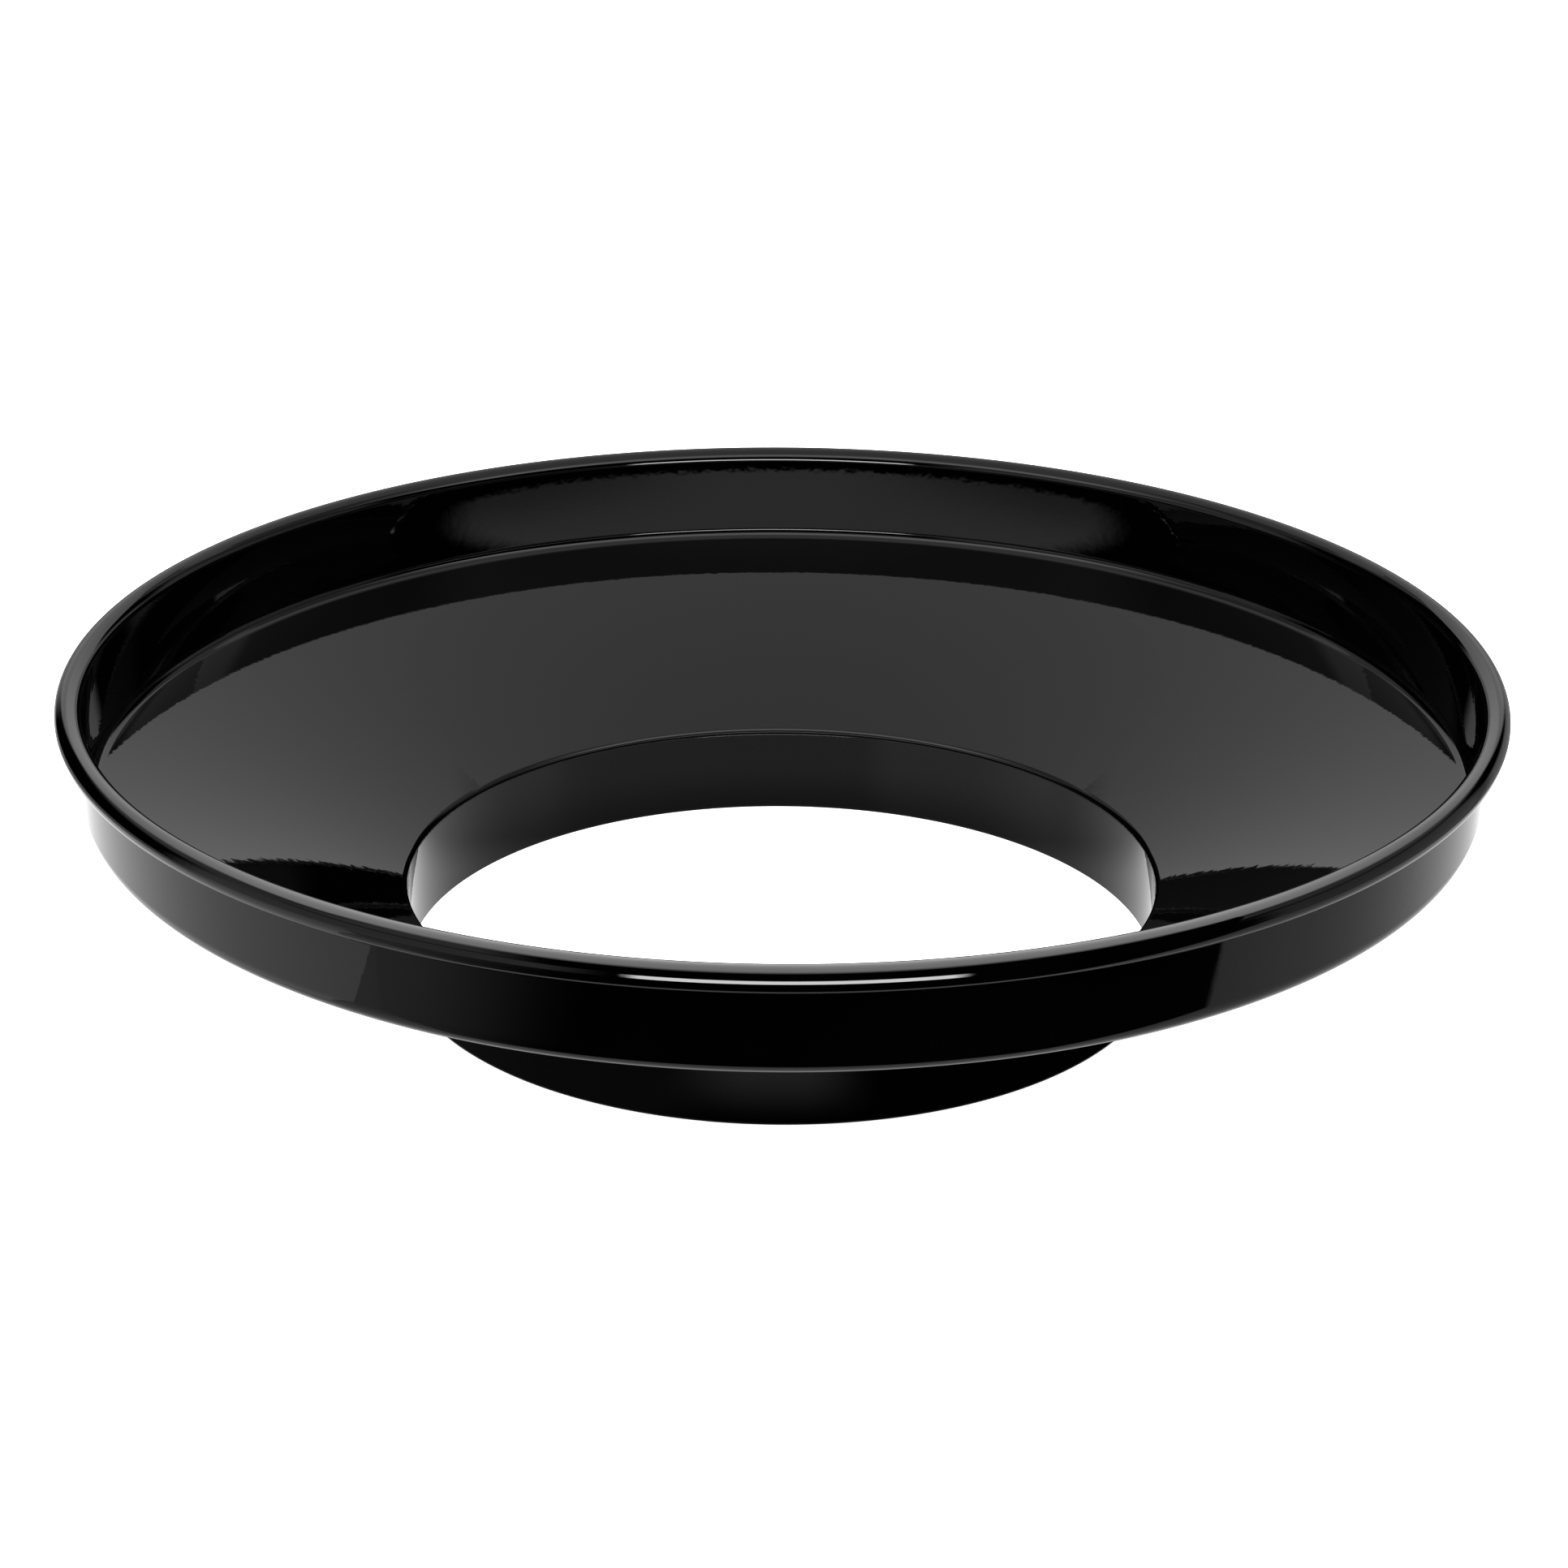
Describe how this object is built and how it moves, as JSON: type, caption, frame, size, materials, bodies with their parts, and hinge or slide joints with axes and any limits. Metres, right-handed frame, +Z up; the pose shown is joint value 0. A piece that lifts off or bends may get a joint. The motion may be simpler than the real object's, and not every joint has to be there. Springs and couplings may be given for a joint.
{
  "type": "garbage disposal inlet ring",
  "caption": "Gloss black dished ring with a rolled rim, upright wall, sloping floor and short open throat, the inlet dish of a kitchen garbage disposal.",
  "frame": {"origin": "on the ring's axis, in the plane of the throat's lower edge, which is the lowest face", "axes": "+Z up the axis, from the throat to the rim; X and Y are alike, because every piece is turned"},
  "size_m": [0.16, 0.16, 0.0352],
  "materials": {
    "black_enamel": "high gloss, slight orange peel",
    "collar_enamel": "high gloss, slight orange peel",
    "rim_wire_steel": "drawn wire",
    "gasket_rubber": "moulded, matt"
  },
  "bodies": {
    "root": {"dish_bowl": "black_enamel", "throat_collar": "collar_enamel", "rim_wire": "rim_wire_steel", "throat_gasket": "gasket_rubber"}
  },
  "joints": []
}
